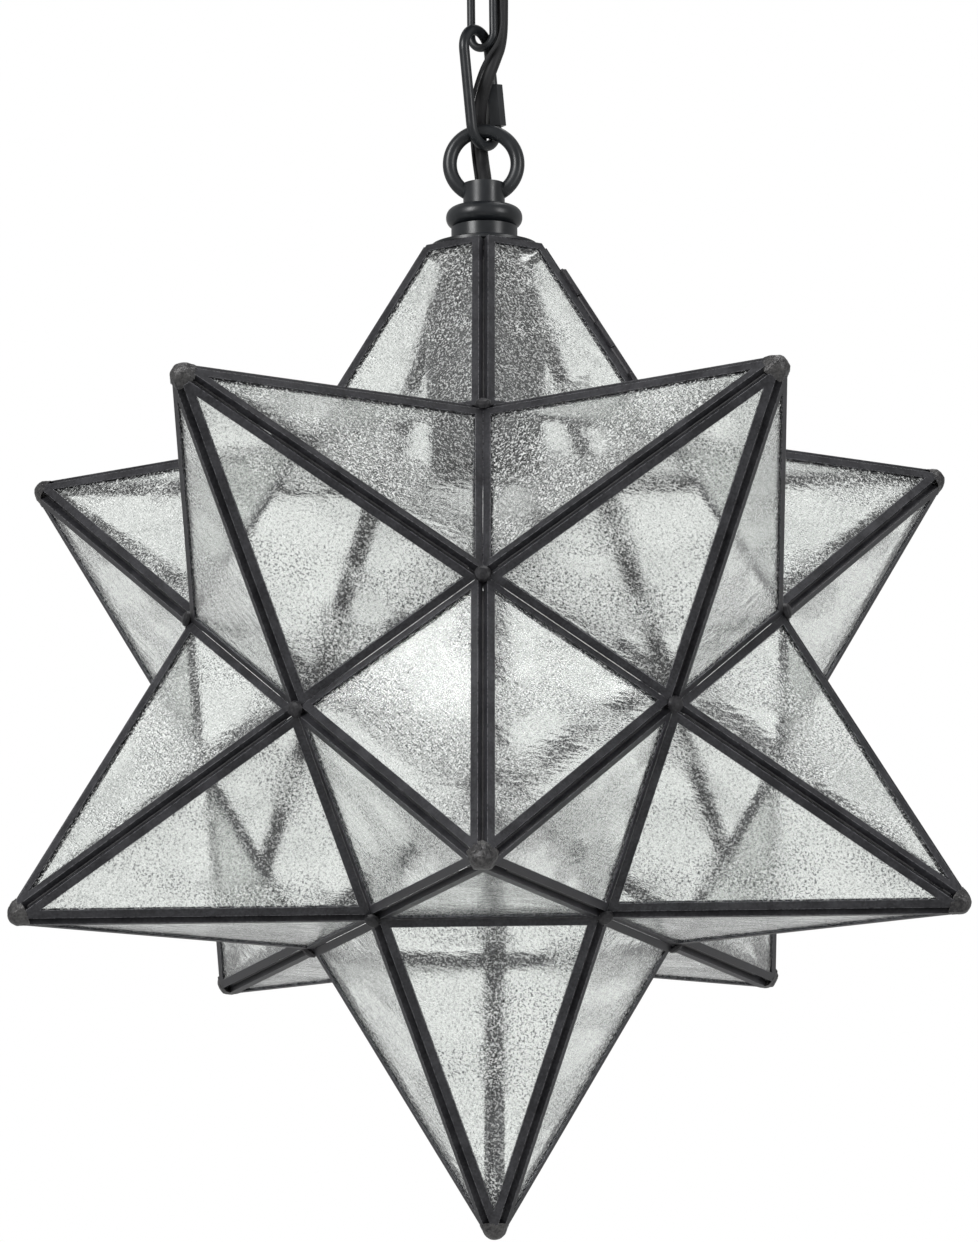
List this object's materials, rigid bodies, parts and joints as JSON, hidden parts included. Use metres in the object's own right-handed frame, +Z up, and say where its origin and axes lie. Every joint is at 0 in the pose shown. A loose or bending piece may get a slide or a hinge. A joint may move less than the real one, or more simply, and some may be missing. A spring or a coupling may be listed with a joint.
{
  "type": "moravian star pendant",
  "caption": "Ceiling pendant with a glass star of five-sided spikes in dark cames, a hinged pane for the lamp, and a loop hung by a quick link and chain from a round canopy.",
  "frame": {"origin": "middle of the crossbar's top face, in the plane of the ceiling, between its two slots", "axes": "+Z up, -Y towards the viewer of the picture, +X to the viewer's right and along the crossbar"},
  "size_m": [0.3796, 0.3984, 0.6361],
  "materials": {
    "seeded_glass": "clear seeded glass",
    "came_metal": "black patina, satin",
    "solder": "black patina over solder, satin",
    "hinge_metal": "black patina, satin",
    "fitter_black": "satin black",
    "chain_black": "satin black",
    "zinc_steel": "zinc plated",
    "cup_black": "satin black",
    "phenolic": "matt black",
    "shell_metal": "bright",
    "contact_brass": "bright",
    "ground_green": "green",
    "nut_plastic": "orange plastic",
    "cord_black": "matt black jacket"
  },
  "bodies": {
    "ceiling_bar": {"crossbar": "zinc_steel", "canopy_nipple": "zinc_steel", "canopy_nuts": "zinc_steel", "canopy_loop": "fitter_black", "ground_screw": "ground_green", "wire_nuts": "nut_plastic", "cord_1": "cord_black"},
    "canopy": {"canopy": "fitter_black"},
    "screw_collar": {"screw_collar": "fitter_black"},
    "chain_link_2": {"link_2": "chain_black", "cord_2": "cord_black"},
    "chain_link_1": {"link_1": "chain_black", "cord_3": "cord_black"},
    "quick_link": {"quick_link": "chain_black"},
    "sleeve_nut": {"quick_link_nut": "chain_black"},
    "star": {"came_top": "came_metal", "came_bottom": "came_metal", "came_upper_1": "came_metal", "came_upper_2": "came_metal", "came_upper_3": "came_metal", "came_upper_4": "came_metal", "came_upper_5": "came_metal", "came_lower_1": "came_metal", "came_lower_2": "came_metal", "came_lower_3": "came_metal", "came_lower_4": "came_metal", "came_lower_5": "came_metal", "glass_top": "seeded_glass", "glass_bottom": "seeded_glass", "glass_upper_1": "seeded_glass", "glass_upper_2": "seeded_glass", "glass_upper_3": "seeded_glass", "glass_upper_4": "seeded_glass", "glass_upper_5": "seeded_glass", "glass_lower_1": "seeded_glass", "glass_lower_2": "seeded_glass", "glass_lower_3": "seeded_glass", "glass_lower_4": "seeded_glass", "glass_lower_5": "seeded_glass", "tip_solder_caps": "solder", "valley_solder": "solder", "hinge_fixed_knuckles": "hinge_metal", "hinge_pin": "hinge_metal", "cap_plate": "fitter_black", "neck": "fitter_black", "bead": "fitter_black", "fixture_loop": "fitter_black", "nipple": "zinc_steel", "lock_nut": "zinc_steel", "socket_neck": "cup_black", "socket_cup": "cup_black", "holder_body": "phenolic", "screw_shell": "shell_metal", "centre_contact": "contact_brass", "cord_4": "cord_black"},
    "door": {"door_frame": "came_metal", "door_glass": "seeded_glass", "hinge_door_knuckles": "hinge_metal", "door_lift_tab": "solder"}
  },
  "joints": [
    {"name": "canopy_lowering", "type": "slide", "parent": "ceiling_bar", "child": "canopy", "axis": [0, 0, -1], "range_m": [0, 0.025]},
    {"name": "collar_lowering", "type": "slide", "parent": "ceiling_bar", "child": "screw_collar", "axis": [0, 0, -1], "range_m": [0, 0.025]},
    {"name": "upper_link_swing", "type": "hinge", "parent": "ceiling_bar", "child": "chain_link_2", "pos_m": [0, 0, -0.0553], "axis": [0.8192, -0.5736, 0], "range_deg": [-40, 40], "deforming": ["cord_1"]},
    {"name": "lower_link_swing", "type": "hinge", "parent": "chain_link_2", "child": "chain_link_1", "pos_m": [0, 0, -0.0859], "axis": [0.5736, 0.8192, 0], "range_deg": [-40, 40], "deforming": ["cord_2"]},
    {"name": "quick_link_swing", "type": "hinge", "parent": "chain_link_1", "child": "quick_link", "pos_m": [0, 0, -0.1168], "axis": [0.8192, -0.5736, 0], "range_deg": [-40, 40], "deforming": ["cord_3"]},
    {"name": "star_swing", "type": "hinge", "parent": "quick_link", "child": "star", "pos_m": [0, 0, -0.15214], "axis": [1, 0, 0], "range_deg": [-25, 25], "deforming": ["cord_4"]},
    {"name": "sleeve_nut_travel", "type": "slide", "parent": "quick_link", "child": "sleeve_nut", "axis": [-0.0823, -0.1176, 0.9896], "range_m": [0, 0.012]},
    {"name": "door_swing", "type": "hinge", "parent": "star", "child": "door", "pos_m": [0.03183, -0.01034, -0.21419], "axis": [0.5, -0.1625, -0.8507], "range_deg": [0, 120]}
  ],
  "couplings": [
    {"joint": "collar_lowering", "follows": "canopy_lowering", "ratio": 1}
  ]
}
